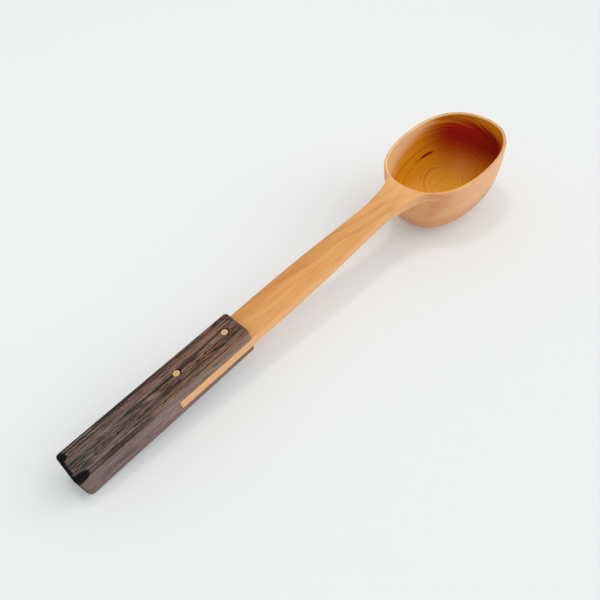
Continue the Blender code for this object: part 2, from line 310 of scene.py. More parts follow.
ladle = new_piece(cage, "cherry_bowl_and_arm")
skin = ladle.modifiers.new("smooth skin", "SUBSURF")
skin.levels = skin.render_levels = 1
drawn = [corner.co.copy() for corner in ladle.data.vertices]
for _ in range(FIT_ROUNDS):
    smooth = with_modifiers(ladle)
    mesh = smooth.to_mesh()
    errors = [point - mesh.vertices[i].co for i, point in enumerate(drawn)]
    smooth.to_mesh_clear()
    for corner, error in zip(ladle.data.vertices, errors):
        corner.co += error
    ladle.data.update()
skin.levels = skin.render_levels = SKIN_LEVELS
print("the skin is within", round(1e6 * max(e.length for e in errors), 1), "thousandths of a mm")

# %% [markdown]
# ## Holes for the pins
# The pins go right through the tongue and both cheeks of the grip. A Boolean cut makes the holes, with rods
# that are a hair wider than the pins. The rods are only tools, so they go away once the cut is applied.

# %% Cut with tools that are removed afterwards
ROD_SIDES, OVERSHOOT = 48, 0.004


def rod(radius, low, high, x):
    bm = bmesh.new()
    middle = Matrix.Translation((x, 0.0, (low + high) / 2))
    bmesh.ops.create_cone(bm, cap_ends=True, segments=ROD_SIDES, radius1=radius, radius2=radius,
                          depth=high - low, matrix=middle @ Matrix.Rotation(math.pi / ROD_SIDES, 4, "Z"))
    return bm


def cut(piece, tools):
    for tool in tools:
        step = piece.modifiers.new(tool.name, "BOOLEAN")
        step.operation = "DIFFERENCE"
        step.object = tool
    mesh = bpy.data.meshes.new_from_object(with_modifiers(piece))
    piece.modifiers.clear()
    piece.data = mesh
    for tool in tools:
        bpy.data.objects.remove(tool)
    print(piece.name, "has", len(mesh.polygons), "faces after the cut")


def pin_holes():
    low, high = HEEL_BOTTOM - OVERSHOOT, CHEEK_ABOVE + OVERSHOOT
    return [new_piece(rod(PIN_DIAMETER / 2 + SEAM, low, high, x), "hole") for x in PIN_PLACES]


cut(ladle, pin_holes())

# %% [markdown]
# ## The flat foot
# The maker sands a small flat under the bowl so that it stands. The skin is turned to where it stands on the
# table, and then a bisecting plane slices off what lies under the table and the opening is filled. A Boolean
# with a block would do the same, but a plane needs no tool.

# %% Stand the bowl up and slice its foot
turn = Matrix.Rotation(-TILT, 4, "Y")
foot_point = turn @ Vector((FOOT_CENTRE, 0.0, -BOWL_DEPTH))
tip = max((turn @ corner.co).x for corner in ladle.data.vertices)
STAND = Matrix.Translation((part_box("bowl_and_arm")[1].x - tip, 0.0, -foot_point.z)) @ turn

bm = bmesh.new()
bm.from_mesh(ladle.data)
bmesh.ops.transform(bm, matrix=STAND, verts=bm.verts)
sliced = bmesh.ops.bisect_plane(bm, geom=bm.verts[:] + bm.edges[:] + bm.faces[:], clear_outer=True,
                                plane_co=(0.0, 0.0, 0.0), plane_no=(0.0, 0.0, -1.0))
foot_edges = [part for part in sliced["geom_cut"] if isinstance(part, bmesh.types.BMEdge)]
foot = bmesh.ops.contextual_create(bm, geom=foot_edges)["faces"]
for edge in foot_edges:
    edge.smooth = False
print("the foot is one face with", len(foot[0].verts), "corners")
bm.to_mesh(ladle.data)
bm.free()

# %% [markdown]
# ## The grip
# The grip is a block of dark wood, a little deeper at its heel, with rounded long edges and tighter ends.
# Rounded one by one they would leave odd corners, so a Bevel modifier with edge weights rounds each kind of
# edge by its own amount in one go.

# %% Shape the block
FULL_ROUND, TIGHT_ROUND, ROUND_STEPS = 1.0, 0.5, 8


def grip_bottom(x):
    return HEEL_BOTTOM + (FRONT_BOTTOM - HEEL_BOTTOM) * x / GRIP_LENGTH


def block(size, middle):
    bm = bmesh.new()
    bmesh.ops.create_cube(bm, size=1.0)
    bmesh.ops.scale(bm, vec=size, verts=bm.verts)
    bmesh.ops.translate(bm, vec=middle, verts=bm.verts)
    return bm


bm = block((GRIP_LENGTH, GRIP_WIDTH, 1.0), (GRIP_LENGTH / 2, 0.0, 0.0))
weight = bm.edges.layers.float.new("bevel_weight_edge")
for corner in bm.verts:
    corner.co.z = CHEEK_ABOVE if corner.co.z > 0 else grip_bottom(corner.co.x)
for edge in bm.edges:
    way = edge.verts[0].co - edge.verts[1].co
    across = abs(way.y) > GRIP_WIDTH / 2
    on_table = edge.verts[0].co.z < HEEL_BOTTOM / 2 and edge.verts[0].co.x < GRIP_LENGTH / 2
    edge[weight] = TIGHT_ROUND if across and not on_table else FULL_ROUND
grip = new_piece(bm, "dark_grip")
rounding = grip.modifiers.new("rounded edges", "BEVEL")
rounding.limit_method = "WEIGHT"
rounding.width = GRIP_EDGE
rounding.segments = ROUND_STEPS
print("the grip is", GRIP_LENGTH, "m long before its slot is cut")

# %% [markdown]
# The slot is sawn from the front and is open at both sides, as a maker would cut it for a tongue. It comes
# after the rounding, so its mouth stays crisp. Its tool is a block that stands out past the grip, because a
# Boolean is safest where no two faces lie in one plane.

# %% Cut the slot and the pin holes
slot_length = TONGUE_LENGTH + SEAM + OVERSHOOT
slot_size = (slot_length, GRIP_WIDTH + 2 * OVERSHOOT, ARM_THICKNESS + 2 * SEAM)
slot_middle = (TONGUE_END - SEAM + slot_length / 2, 0.0, -ARM_THICKNESS / 2)
cut(grip, [new_piece(block(slot_size, slot_middle), "slot")] + pin_holes())
grip.data.transform(STAND)
print("the slot is", [round(MILLIMETRES * side, 2) for side in slot_size], "mm")

# %% [markdown]
# ## The pins
# Each pin is a short dowel, sanded flush with the grip, with a tiny round at its ends. The helper that made
# the tools for the holes makes the pins too, so they always fit. Their end grain shows, so they get a UV map
# that counts outwards from the middle of each, and both can then share one finish.

# %% Turn the two pins
PIN_ROUND, PIN_STEPS, SAME_HEIGHT = 0.00018, 3, 0.0001
pins = []
for name, x in (("pale_pin_front", PIN_PLACES[0]), ("pale_pin_rear", PIN_PLACES[1])):
    bm = rod(PIN_DIAMETER / 2, grip_bottom(x), CHEEK_ABOVE, x)
    ends = [e for e in bm.edges if abs(e.verts[0].co.z - e.verts[1].co.z) < SAME_HEIGHT]
    bmesh.ops.bevel(bm, geom=ends, offset=PIN_ROUND, segments=PIN_STEPS, profile=0.5, affect="EDGES",
                    material=-1)
    middle = bm.loops.layers.uv.new("from_middle")
    for face in bm.faces:
        for loop in face.loops:
            loop[middle].uv = ((loop.vert.co.x - x) / PIN_DIAMETER, loop.vert.co.y / PIN_DIAMETER)
    pin = new_piece(bm, name)
    pin.data.transform(STAND)
    pins.append(pin)
    print(name, "has", len(pin.data.polygons), "faces")

# %% [markdown]
# ## Smooth shading
# The curved skins are shaded smooth. Where two faces meet at a real edge, as around the slot and the foot,
# it is marked sharp, and the angle finds all such edges.

# %% Shade the pieces
SHARP_ANGLE = math.radians(35)
for piece in [ladle, grip] + pins:
    piece.data.shade_smooth()
    piece.data.set_sharp_from_angle(angle=SHARP_ANGLE)
    print(piece.name, "has", sum(len(p.vertices) - 2 for p in piece.data.polygons), "triangles")

# %% [markdown]
# ## Which way the faces lie
# The grain of both blanks runs along the ladle. A wall that faces along it shows end grain, which drinks more
# oil and goes darker, and a face that lies across the layers is paler than the top. The cherry's finish also
# uses these marks for painted shade and painted sheen, by which way a face lies. The share of the normal in
# each direction is kept as an attribute, because a normal turns with the ladle and an attribute doesn't.

# %% Mark end grain and side grain
upright = turn.to_3x3().inverted()


def mark(piece, name, domain, measure):
    parts = piece.data.vertices if domain == "POINT" else piece.data.polygons
    values = piece.data.attributes.new(name, "FLOAT", domain).data
    for part in parts:
        values[part.index].value = measure(upright @ part.normal)
    print(name, "is marked on", len(values), "places of", piece.name)


mark(ladle, "end_grain", "POINT", lambda normal: normal.x)
mark(ladle, "side_grain", "POINT", lambda normal: 1 - abs(normal.z))
mark(grip, "end_grain", "FACE", lambda normal: abs(normal.x))
mark(grip, "side_grain", "FACE", lambda normal: abs(normal.y))

# %% [markdown]
# ## Helpers for the finishes
# Each finish is a tree of shader nodes. Drawn by hand such a tree is hard to repeat, so a few helpers write
# it. The first two add a node and fill in its inputs. A value that is another node's output becomes a link,
# and a colour, written as three numbers, gets the fourth that its socket asks for.

# %% Add nodes and links
def fill(tree, node, inputs):
    for name, value in inputs.items():
        target = node.inputs[name]
        if isinstance(value, bpy.types.NodeSocket):
            tree.links.new(value, target)
        else:
            target.default_value = (*value, 1.0) if target.type == "RGBA" else value


def add(tree, kind, inputs=None, **settings):
    made = tree.nodes.new("ShaderNode" + kind)
    for name, value in settings.items():
        setattr(made, name, value)
    fill(tree, made, inputs or {})
    return made


print("nodes can be added and linked")

# %% [markdown]
# Masks are numbers from 0 to 1 that say where a colour goes, and the next helpers do sums with them. The one
# used most is spread: it runs softly from 0 at its first limit to 1 at its second, or between two other values
# that it is given.

# %% Sums and soft limits
def maths(tree, operation, first, second=0.0, third=0.0):
    return add(tree, "Math", {0: first, 1: second, 2: third}, operation=operation).outputs[0]


def times(tree, first, second):
    return maths(tree, "MULTIPLY", first, second)


def larger(tree, first, second):
    return maths(tree, "MAXIMUM", first, second)


def vectors(tree, operation, first, second=(0.0, 0.0, 0.0)):
    made = add(tree, "VectorMath", {0: first, 1: second}, operation=operation)
    return made.outputs["Value" if operation in ("LENGTH", "DOT_PRODUCT") else "Vector"]


def spread(tree, value, low, high, new_low=0.0, new_high=1.0):
    made = add(tree, "MapRange", {"Value": value, "From Min": low, "From Max": high,
                                  "To Min": new_low, "To Max": new_high}, interpolation_type="SMOOTHSTEP")
    return made.outputs[0]


print("masks are ready")

# %% [markdown]
# One helper blends two colours by a mask. The other only tints: it multiplies a colour, so the pattern that
# is already in it stays.

# %% Mix colours
def blend(tree, factor, first, second, kind="MIX"):
    made = add(tree, "Mix", {0: factor, 6: first, 7: second}, data_type="RGBA", blend_type=kind)
    return made.outputs[2]


def tint(tree, factor, colour, by):
    return blend(tree, factor, colour, by, "MULTIPLY")


print("colours are ready")

# %% [markdown]
# A pattern that several woods share is a node group. It takes numbers and places, and puts out masks, which
# each finish then colours in its own way.

# %% Open a node group
ORIGIN = (0.0, 0.0, 0.0)


def new_group(name, inputs, outputs):
    group = bpy.data.node_groups.new(name, "ShaderNodeTree")
    for title, value in inputs.items():
        kind = "NodeSocketFloat" if isinstance(value, float) else "NodeSocketVector"
        group.interface.new_socket(title, in_out="INPUT", socket_type=kind).default_value = value
    for title in outputs:
        group.interface.new_socket(title, in_out="OUTPUT", socket_type="NodeSocketFloat")
    return group, group.nodes.new("NodeGroupInput").outputs, group.nodes.new("NodeGroupOutput").inputs


print("node groups can be opened")

# %% [markdown]
# ## Growth rings
# Wood grows in layers, and every cut face shows them: as ovals on the floor of the bowl, as level lines on its
# wall and as long wandering lines on the arm. Painting each face would never match at the edges. A block of
# layers in space, which every face slices through, does. The layers lean a little in this blank, slow noise
# makes them wander, and each one darkens slowly towards its late wood and then stops. Most years are faint and
# a few are strong, so chance is squared.

# %% Node group for growth rings
SLOWNESS = (0.020, 0.05, 0.05)
LATE_WOOD, RING_STOP, FAINTEST = 2.2, 0.80, 0.18


def growth_rings():
    group, given, result = new_group("growth_rings", {"Place": ORIGIN, "Lean": (0.0, 0.0, 1.0),
                                                      "Spacing": 1.5, "Wander": 5.0}, ("Line", "Tone"))
    slow = vectors(group, "MULTIPLY", given["Place"], SLOWNESS)
    noise = add(group, "TexNoise", {"Vector": slow, "Scale": 1.0, "Detail": 1.0}).outputs["Fac"]
    drift = times(group, maths(group, "SUBTRACT", noise, 0.5), given["Wander"])
    level = vectors(group, "DOT_PRODUCT", given["Place"], given["Lean"])
    count = maths(group, "DIVIDE", maths(group, "ADD", level, drift), given["Spacing"])
    saw = maths(group, "FRACT", count)
    late = times(group, maths(group, "POWER", saw, LATE_WOOD), spread(group, saw, 1.0, RING_STOP))
    year = maths(group, "FLOOR", count)
    chance = add(group, "TexWhiteNoise", {"W": year}, noise_dimensions="1D").outputs["Value"]
    strength = maths(group, "ADD", maths(group, "POWER", chance, 2.0), FAINTEST)
    group.links.new(times(group, late, strength), result["Line"])
    group.links.new(chance, result["Tone"])
    return group


rings_group = growth_rings()
print(rings_group.name, "has", len(rings_group.nodes), "nodes")

# %% [markdown]
# ## Fibres and pores
# Between the rings, wood is bundles of long fibres with open pores among them. Both are noise that is
# stretched along the grain. One group serves all three woods: fine and faint in the cherry, long and black in
# the dark wood.

# %% Node group for fibres and pores
PORE_SCALE, PORE_EDGE = 2.3, 0.05


def long_fibres():
    group, given, result = new_group("long_fibres", {"Place": ORIGIN, "Fineness": (0.1, 2.0, 2.0),
                                                     "Bare": 0.6}, ("Streak", "Pore"))
    stretched = vectors(group, "MULTIPLY", given["Place"], given["Fineness"])
    streaks = add(group, "TexNoise", {"Vector": stretched, "Scale": 1.0, "Detail": 3.0, "Roughness": 0.6})
    pores = add(group, "TexNoise", {"Vector": stretched, "Scale": PORE_SCALE, "Detail": 1.0})
    above = maths(group, "SUBTRACT", pores.outputs["Fac"], given["Bare"])
    group.links.new(streaks.outputs["Fac"], result["Streak"])
    group.links.new(spread(group, above, 0.0, PORE_EDGE), result["Pore"])
    return group


fibres_group = long_fibres()
print(fibres_group.name, "has", len(fibres_group.nodes), "nodes")

# %% [markdown]
# ## Wood space
# The patterns are laid out along the level ladle, in millimetres, but the pieces stand tipped. A Mapping node
# turns Object coordinates back to the level drawing, so the layers run with the arm as they do in the blank.
# There, along is 0 at the grip's end and 320 at the tip, across is below zero on the near side, and height is
# below zero under the rim.

# %% Start a finish in wood space
def new_finish(name, values):
    material = bpy.data.materials.new(name)
    material.use_nodes = True
    shader = material.node_tree.nodes["Principled BSDF"]
    fill(material.node_tree, shader, values)
    return material, material.node_tree, shader


def start_finish(name, values):
    material, tree, shader = new_finish(name, values)
    place = add(tree, "TexCoord").outputs["Object"]
    back = STAND.inverted()
    level = add(tree, "Mapping", {"Vector": place, "Location": back.translation * MILLIMETRES,
                                  "Rotation": back.to_euler(), "Scale": (MILLIMETRES,) * 3})
    return material, tree, shader, level.outputs[0]


print("wood space is turned by", round(math.degrees(TILT), 2), "degrees")

# %% [markdown]
# A finish places a node group with its own values, reads what was marked on the piece, turns a pattern into
# a slight relief, and last is given to its piece.

# %% Patterns, marks and relief
BUMP_STRENGTH = 0.35


def pattern(tree, group, place, **values):
    made = tree.nodes.new("ShaderNodeGroup")
    made.node_tree = group
    fill(tree, made, {"Place": place, **values})
    return made.outputs


def attribute(tree, name):
    return add(tree, "Attribute", attribute_name=name).outputs["Fac"]


def bumpy(tree, shader, height, depth):
    bump = add(tree, "Bump", {"Height": height, "Strength": BUMP_STRENGTH, "Distance": depth})
    tree.links.new(bump.outputs["Normal"], shader.inputs["Normal"])


def dress(piece, material):
    piece.data.materials.clear()
    piece.data.materials.append(material)


print("the shared patterns are", [group.name for group in (rings_group, fibres_group)])

# %% [markdown]
# ## Single marks
# A piece of wood also has marks that happen only once, such as a gum streak or a burnt corner. Each is a soft
# oval at one place of the level drawing. Its place is shaken by fine noise first, so its outline comes out
# ragged and not like a stamp. A band is the same thing in one direction only: it runs the whole length.

# %% Ragged ovals and bands
def ragged(tree, place, fineness, amount):
    fine = vectors(tree, "MULTIPLY", place, fineness)
    noise = add(tree, "TexNoise", {"Vector": fine, "Scale": 1.0, "Detail": 2.0}).outputs["Color"]
    shake = vectors(tree, "MULTIPLY", vectors(tree, "SUBTRACT", noise, (0.5, 0.5, 0.5)), amount)
    return vectors(tree, "ADD", place, shake)


def spot(tree, place, middle, reach, core=0.6):
    share = vectors(tree, "DIVIDE", vectors(tree, "SUBTRACT", place, middle), reach)
    return spread(tree, vectors(tree, "LENGTH", share), 1.0, core)


def band(tree, across, middle, reach, core, strength=1.0):
    away = maths(tree, "ABSOLUTE", maths(tree, "SUBTRACT", across, middle))
    return spread(tree, away, reach, core, 0.0, strength)


print("marks are laid out in millimetres")

# %% [markdown]
# ## Cherry
# Oiled cherry is a warm tan with soft ring lines. Two sets of rings are laid through the blank: broad ones for
# the arm and fine ones for the bowl. The finish also reads how deep a point lies in the hollow and which way
# its face lies, so that one material serves the whole carved piece, inside and out.

# %% Patterns of the cherry
LEAN, WANDER, BROAD, FINE, FINE_SHARE = (-0.06, -0.32, 1.0), 5.0, 2.5, 0.9, 0.3
cherry, tree, shader, place = start_finish("oiled_cherry", {"Specular IOR Level": 0.25})
rings = pattern(tree, rings_group, place, Lean=LEAN, Spacing=BROAD, Wander=WANDER)
fine = pattern(tree, rings_group, place, Lean=LEAN, Spacing=FINE, Wander=WANDER)
fibres = pattern(tree, fibres_group, place, Fineness=(0.05, 0.30, 1.40))
depth, end, side = [attribute(tree, name) for name in ("hollow", "end_grain", "side_grain")]
along, across, height = add(tree, "SeparateXYZ", {0: place}).outputs
line = larger(tree, rings["Line"], times(tree, fine["Line"], FINE_SHARE))
print("the cherry reads", len([n for n in tree.nodes if n.type == "ATTRIBUTE"]), "attributes")

# %% [markdown]
# The outside is tan on top and paler on the flanks, partly because a face there cuts across the layers and
# partly as painted sheen from the light at the right. One edge of the arm lies nearer the darker heart of the
# tree, the neck carries a painted sheen, and the flanks of the arm are yellower.

# %% Top and flanks of the cherry
TAN, TAN_LINE = (0.768, 0.384, 0.127), (0.430, 0.146, 0.025)
HEART_TINT, HEART_ALONG, HEART_ACROSS = (0.88, 0.79, 0.68), (205.0, 170.0), (0.5, 6.0)
NECK_SHEEN, NECK_BEGINS, NECK_ENDS, NECK_SHARE = (0.900, 0.490, 0.200), (214.0, 236.0), (300.0, 250.0), 0.60
FLANK_GRAIN_AND_SHEEN, FLANK_LINE, SOFTER = (0.750, 0.425, 0.225), (0.640, 0.320, 0.150), 0.6
ARM_TINT, ARM_ALONG, FLANK_FACING = (1.0, 0.98, 0.82), (235.0, 205.0), (0.30, 0.95)
top = blend(tree, line, TAN, TAN_LINE)
near_heart = times(tree, spread(tree, along, *HEART_ALONG), spread(tree, across, *HEART_ACROSS))
top = tint(tree, near_heart, top, HEART_TINT)
# Painted sheen: the top is made paler at the neck, where the light gleams on it.
neck_sheen = times(tree, spread(tree, along, *NECK_BEGINS), spread(tree, along, *NECK_ENDS))
top = blend(tree, times(tree, neck_sheen, NECK_SHARE), top, NECK_SHEEN)
# Partly side grain and partly painted sheen: faces that turn sideways are made paler.
flank = blend(tree, times(tree, line, SOFTER), FLANK_GRAIN_AND_SHEEN, FLANK_LINE)
flank = tint(tree, spread(tree, along, *ARM_ALONG), flank, ARM_TINT)
outside = blend(tree, spread(tree, side, *FLANK_FACING), top, flank)
print("top and flanks:", len(tree.nodes), "nodes")

# %% [markdown]
# The shoulders of the bowl are darker than its flanks, partly as end grain and partly as painted shade where
# the wall turns away from the light. That fades again where the wall faces straight along the ladle. Lower
# down, a tint darkens the wall towards the foot.

# %% Shoulders and foot of the bowl
SHOULDER_GRAIN_AND_SHADE, SHOULDER_LINE = (0.700, 0.325, 0.145), (0.560, 0.230, 0.088)
SLANT_BEGINS, SLANT_FADES, WALL_FACING = (0.30, 0.75), (0.78, 1.0, 1.0, 0.25), (0.8, 0.95)
FOOT_TINT, FOOT_HEIGHT = (0.83, 0.72, 0.74), (-17.0, -28.0)
# Partly end grain and partly painted shade: darkest where the wall turns away from the light.
slant = maths(tree, "ABSOLUTE", end)
at_shoulder = times(tree, spread(tree, slant, *SLANT_BEGINS), spread(tree, slant, *SLANT_FADES))
at_shoulder = times(tree, at_shoulder, spread(tree, side, *WALL_FACING))
outside = blend(tree, at_shoulder, outside, blend(tree, line, SHOULDER_GRAIN_AND_SHADE, SHOULDER_LINE))
outside = tint(tree, spread(tree, height, *FOOT_HEIGHT), outside, FOOT_TINT)
print("outside:", len(tree.nodes), "nodes")

# %% [markdown]
# The hollow has drunk more oil than the outside. Its amber is lightest on the floor and darker where the wall
# at the tip turns to face the grip, partly as painted shade on that wall, which faces away from the light.
# Whole years differ in tone, which gives the floor its broad ovals, and the fine lines are drawn over them.

# %% Amber of the hollow
WALL_AMBER, FLOOR_AMBER, FLOOR_DEPTH = (0.830, 0.366, 0.009), (0.985, 0.530, 0.050), (0.80, 1.0)
TIP_AMBER_AND_SHADE, TIP_FACING = (0.660, 0.255, 0.010), (0.05, 0.65)
YEAR_TINT, YEAR_SHARE = (0.80, 0.70, 0.55), 0.35
WALL_LINE, FLOOR_LINE, LINE_GAIN = (0.360, 0.095, 0.003), (0.720, 0.290, 0.012), 1.3
toward_grip = times(tree, end, -1.0)
on_floor = spread(tree, depth, *FLOOR_DEPTH)
amber = blend(tree, on_floor, WALL_AMBER, FLOOR_AMBER)
# Partly painted shade: the tip wall, turned away from the light, is made darker.
amber = blend(tree, spread(tree, toward_grip, *TIP_FACING), amber, TIP_AMBER_AND_SHADE)
amber = tint(tree, times(tree, rings["Tone"], YEAR_SHARE), amber, YEAR_TINT)
inner_line = times(tree, larger(tree, times(tree, rings["Line"], SOFTER), fine["Line"]), LINE_GAIN)
amber = blend(tree, inner_line, amber, blend(tree, on_floor, WALL_LINE, FLOOR_LINE))
print("amber:", len(tree.nodes), "nodes")

# %% [markdown]
# The rim stays pale, because the oil stops at a ragged level that follows the rings. The amber reaches higher
# in the wall at the tip, as painted shade, and stays lower on the wall that faces the light, as painted light.
# Last, the inside and the outside meet along the lip.

# %% Pale rim and lip
RIM_PALE, RIM_LINE, RAGGEDNESS = (0.850, 0.575, 0.300), (0.720, 0.420, 0.170), 0.10
SHADE_CLIMB, LEAST_FACING, OIL_LEVEL = 0.60, -0.25, (0.14, 0.42)
LIP_SOAK, LIP_EDGE = (0.004, 0.03), (0.0, 0.006)
streaky = maths(tree, "ADD", depth, maths(tree, "MULTIPLY_ADD", fine["Tone"], RAGGEDNESS, -RAGGEDNESS / 2))
# Painted shade and light: the amber climbs higher on the tip wall, which is in shade, than on the lit wall.
soaked = maths(tree, "MULTIPLY_ADD", larger(tree, toward_grip, LEAST_FACING), SHADE_CLIMB, streaky)
soaked = times(tree, spread(tree, soaked, *OIL_LEVEL), spread(tree, depth, *LIP_SOAK))
pale = blend(tree, times(tree, line, SOFTER), RIM_PALE, RIM_LINE)
inside = blend(tree, soaked, pale, amber)
colour = blend(tree, spread(tree, depth, *LIP_EDGE), outside, inside)
print("inside:", len(tree.nodes), "nodes")

# %% [markdown]
# The wall at the tip faces straight back along the ladle, so it is cut across the fibres and has gone deep
# red. How deep its red is comes partly from painted shade, as that wall faces away from the light. The wall
# under the neck faces forward and is less red. The red begins below the rim and fades before the floor. It is
# darker towards the near side.

# %% Red end grain and painted shade in the bowl
RED_AND_SHADE, RED_LINE, RED_FACING = (0.390, 0.007, 0.003), (0.235, 0.001, 0.003), (-0.05, 0.72)
FORWARD_FACING, FORWARD_SHARE = (0.50, 1.0), 0.6
RED_BEGINS, RED_ENDS, RED_LEAN, NEAR_SIDE = (0.04, 0.25), (0.66, 0.20), -0.25, (16.0, -14.0, 1.15, 0.74)
red = maths(tree, "ADD", spread(tree, toward_grip, *RED_FACING),
            times(tree, spread(tree, end, *FORWARD_FACING), FORWARD_SHARE))
red = times(tree, red, spread(tree, streaky, *RED_BEGINS))
red = times(tree, red, spread(tree, maths(tree, "MULTIPLY_ADD", toward_grip, RED_LEAN, streaky), *RED_ENDS))
# Partly painted shade: the deep red stands in part for the shade on the tip wall.
deep = tint(tree, 1.0, blend(tree, fine["Tone"], RED_AND_SHADE, RED_LINE), spread(tree, across, *NEAR_SIDE))
colour = blend(tree, red, colour, deep)
print("red walls:", len(tree.nodes), "nodes")

# %% [markdown]
# One short gum streak lies in the side wall of the hollow, with a thin tail. It is two ragged ovals, which are
# only let through inside, so that they don't show on the outside of the wall.

# %% Gum streak
GUM, GUM_MIDDLE, GUM_REACH = (0.150, 0.003, 0.004), (292.6, 24.0, -23.8), (7.0, 6.0, 1.05)
TAIL_MIDDLE, TAIL_REACH, TAIL_SHARE = (285.0, 24.2, -24.0), (7.0, 6.0, 0.5), 0.6
gum_place = ragged(tree, place, (0.3, 0.3, 1.2), (0.8, 0.8, 0.8))
tail_place = ragged(tree, place, (0.2, 0.3, 1.2), (0.5, 0.5, 0.5))
gum = spot(tree, gum_place, GUM_MIDDLE, GUM_REACH, 0.7)
gum = larger(tree, gum, times(tree, spot(tree, tail_place, TAIL_MIDDLE, TAIL_REACH, 0.2), TAIL_SHARE))
gum = times(tree, gum, spread(tree, depth, 0.0, 0.05))
colour = blend(tree, gum, colour, GUM)
print("gum streak:", len(tree.nodes), "nodes")

# %% [markdown]
# Long fibres tint the whole piece a little. They also vary the gloss and lift the surface by a few hundredths
# of a millimetre, as on oiled wood. A bump does that, since no outline is fine enough to show it.

# %% Fibres and sheen
FIBRE_TINT, FIBRE_SHADE, FIBRE_GLOSS = (0.90, 0.80, 0.70), (0.65, 0.30, 0.0, 0.6), (0.3, 0.7, 0.38, 0.50)
FIBRE_LIFT = 0.00004
colour = tint(tree, spread(tree, fibres["Streak"], *FIBRE_SHADE), colour, FIBRE_TINT)
tree.links.new(colour, shader.inputs["Base Color"])
tree.links.new(spread(tree, fibres["Streak"], *FIBRE_GLOSS), shader.inputs["Roughness"])
bumpy(tree, shader, fibres["Streak"], FIBRE_LIFT)
dress(ladle, cherry)
print(cherry.name, "has", len(tree.nodes), "nodes")

# %% [markdown]
# ## Dark wood
# The grip's wood is mauve-brown. Its layers stand upright, so the top cuts them on edge and shows long black
# pores. The pores crowd in a band on the near half and along the far edge, and between them lies a lighter,
# barer band. So the crowding shifts both the tone of the wood and how much of it is bare.

# %% Patterns of the dark wood
LIGHT_BAND, BLACK_BAND, FAR_EDGE = (2.9, 2.6, 0.6), (-3.2, 3.0, 0.8), (5.0, 8.5)
STREAK_CROWDS, TOP_FACING, USUAL_BARE = (0.58, 0.42, 0.0, 0.6), (0.95, 0.45), 0.574
CROWD_TONE, CROWD_BARE, LIGHT_TONE, LIGHT_BARE = -0.030, -0.085, 0.045, 0.025
dark, tree, shader, place = start_finish("dark_open_grain", {"Roughness": 0.5, "Specular IOR Level": 0.06})
along, across, height = add(tree, "SeparateXYZ", {0: place}).outputs
side, end = [attribute(tree, name) for name in ("side_grain", "end_grain")]
on_top = spread(tree, side, *TOP_FACING)
long_lines = pattern(tree, fibres_group, place, Fineness=(0.020, 0.85, 0.12), Bare=0.56)
bands = pattern(tree, fibres_group, place, Fineness=(0.012, 0.30, 0.08))
light_band = band(tree, across, *LIGHT_BAND)
crowd = larger(tree, band(tree, across, *BLACK_BAND), spread(tree, across, *FAR_EDGE))
crowd = larger(tree, crowd, spread(tree, bands["Streak"], *STREAK_CROWDS))
tone = maths(tree, "MULTIPLY_ADD", crowd, CROWD_TONE, long_lines["Streak"])
tone = maths(tree, "MULTIPLY_ADD", light_band, LIGHT_TONE, tone)
bare = maths(tree, "MULTIPLY_ADD", light_band, LIGHT_BARE, USUAL_BARE)
bare = maths(tree, "MULTIPLY_ADD", crowd, CROWD_BARE, bare)
dashes = pattern(tree, fibres_group, place, Fineness=(0.080, 1.70, 0.18), Bare=bare)
print("dark patterns:", len(tree.nodes), "nodes")

# %% [markdown]
# On top, brown streaks run into black ones, with a reddish band on the far half and a tan one along the near
# edge. Towards the heel the wood turns greyer.

# %% Top of the dark wood
TOP_DARK, TOP_BROWN, TONE_RANGE = (0.044, 0.030, 0.026), (0.245, 0.172, 0.143), (0.40, 0.60)
TOP_RED, RED_BAND, RED_STREAKS = (0.225, 0.112, 0.084), (4.2, 3.8, 1.0, 0.6), (0.50, 0.60, 0.0, 0.7)
TOP_TAN, TAN_ACROSS, TAN_STREAKS = (0.210, 0.135, 0.076), (-4.5, -7.5), (0.45, 0.6)
TAN_ALONG, TAN_SHARE = (25.0, 65.0, 0.25, 1.0), 0.8
HEEL_TINT, HEEL_ALONG = (0.90, 1.05, 1.15), (65.0, 25.0)
upper = blend(tree, spread(tree, tone, *TONE_RANGE), TOP_DARK, TOP_BROWN)
reddish = larger(tree, band(tree, across, *RED_BAND), spread(tree, bands["Streak"], *RED_STREAKS))
upper = blend(tree, reddish, upper, TOP_RED)
near_edge = times(tree, spread(tree, across, *TAN_ACROSS), spread(tree, long_lines["Streak"], *TAN_STREAKS))
near_edge = times(tree, near_edge, spread(tree, along, *TAN_ALONG))
upper = blend(tree, times(tree, near_edge, TAN_SHARE), upper, TOP_TAN)
upper = tint(tree, spread(tree, along, *HEEL_ALONG), upper, HEEL_TINT)
print("top of the grip:", len(tree.nodes), "nodes")

# %% [markdown]
# The sides show the layers flat, as a plainer and paler face. Its upper part is a little lighter. Both faces
# turn warmer towards the front. Last the black pores go over them, faintly on the sides.

# %% Sides, warmth and pores
SIDE_DARK, SIDE_PALE, SIDE_STREAKS = (0.118, 0.079, 0.074), (0.268, 0.186, 0.172), (0.36, 0.64)
SIDE_PORE, SIDE_PORE_SHARE = (0.110, 0.066, 0.058), 0.35
UPPER_SIDE_TINT, UPPER_SIDE_HEIGHT = (1.08, 1.09, 1.07), (-3.0, 1.0)
FRONT_TINT, FRONT_ALONG = (1.20, 1.13, 1.02), (35.0, 85.0)
PORE, LONG_PORE_SHARE, PORE_ON_TOP = (0.008, 0.006, 0.005), 0.7, (0.0, 1.0, 0.20, 0.95)
flat = pattern(tree, fibres_group, place, Fineness=(0.030, 0.20, 1.20), Bare=0.56)
plain = blend(tree, spread(tree, flat["Streak"], *SIDE_STREAKS), SIDE_DARK, SIDE_PALE)
plain = blend(tree, times(tree, flat["Pore"], SIDE_PORE_SHARE), plain, SIDE_PORE)
plain = tint(tree, spread(tree, height, *UPPER_SIDE_HEIGHT), plain, UPPER_SIDE_TINT)
colour = blend(tree, on_top, plain, upper)
